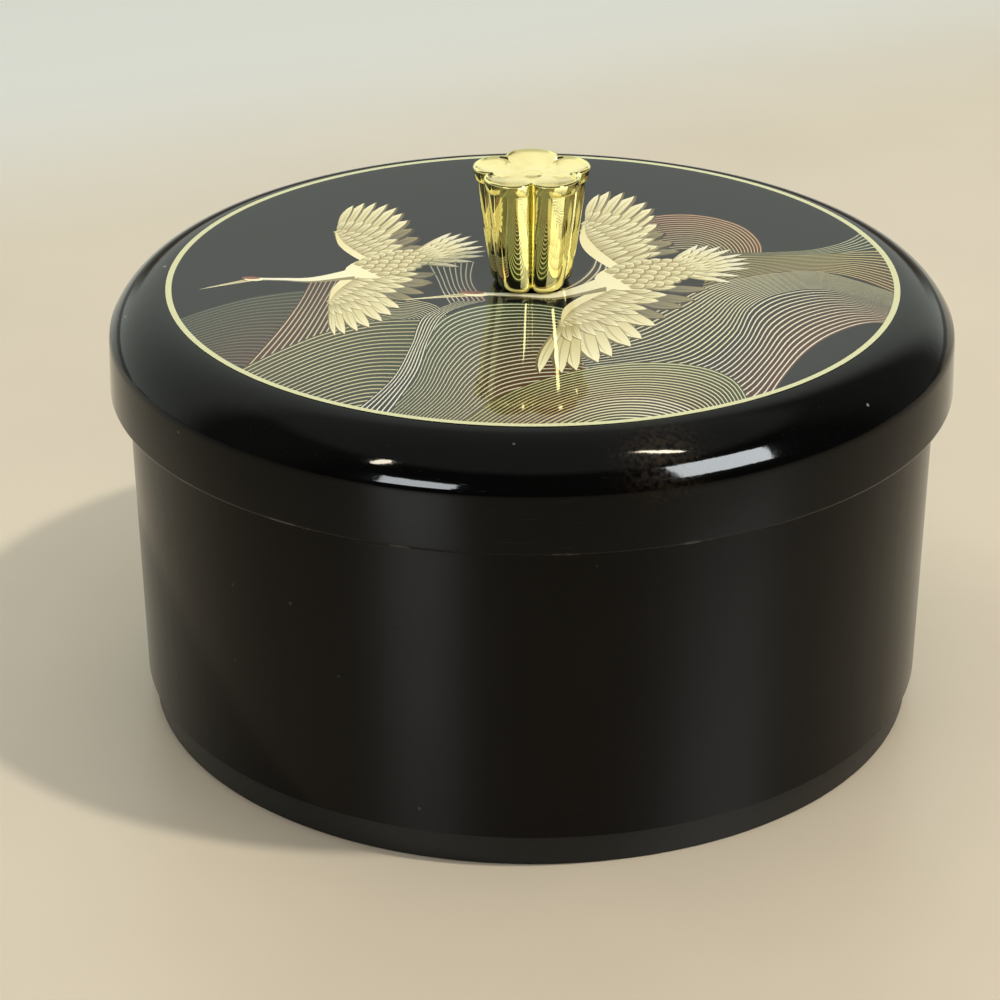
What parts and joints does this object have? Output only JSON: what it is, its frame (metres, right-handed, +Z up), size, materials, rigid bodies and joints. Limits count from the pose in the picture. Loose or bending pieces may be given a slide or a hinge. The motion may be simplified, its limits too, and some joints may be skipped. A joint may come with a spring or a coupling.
{
  "type": "powder box",
  "caption": "Round lidded vanity powder box with a lift-off cap, rounded shoulder, low foot band and a lobed gold knob; hollow inside.",
  "frame": {"origin": "middle of the underside, in the plane of the foot ring that the box stands on", "axes": "+Z up through the knob; one lobe of the knob points to +Y, the picture on the lid is read from -Y"},
  "size_m": [0.1366, 0.1366, 0.0893],
  "materials": {
    "body_plastic": "black moulded plastic, soft gloss",
    "lid_plastic": "black moulded plastic, high gloss, printed top",
    "knob_plate": "bright gold-coloured plating"
  },
  "bodies": {
    "root": {"body": "body_plastic", "lid": "lid_plastic", "knob": "knob_plate"}
  },
  "joints": []
}
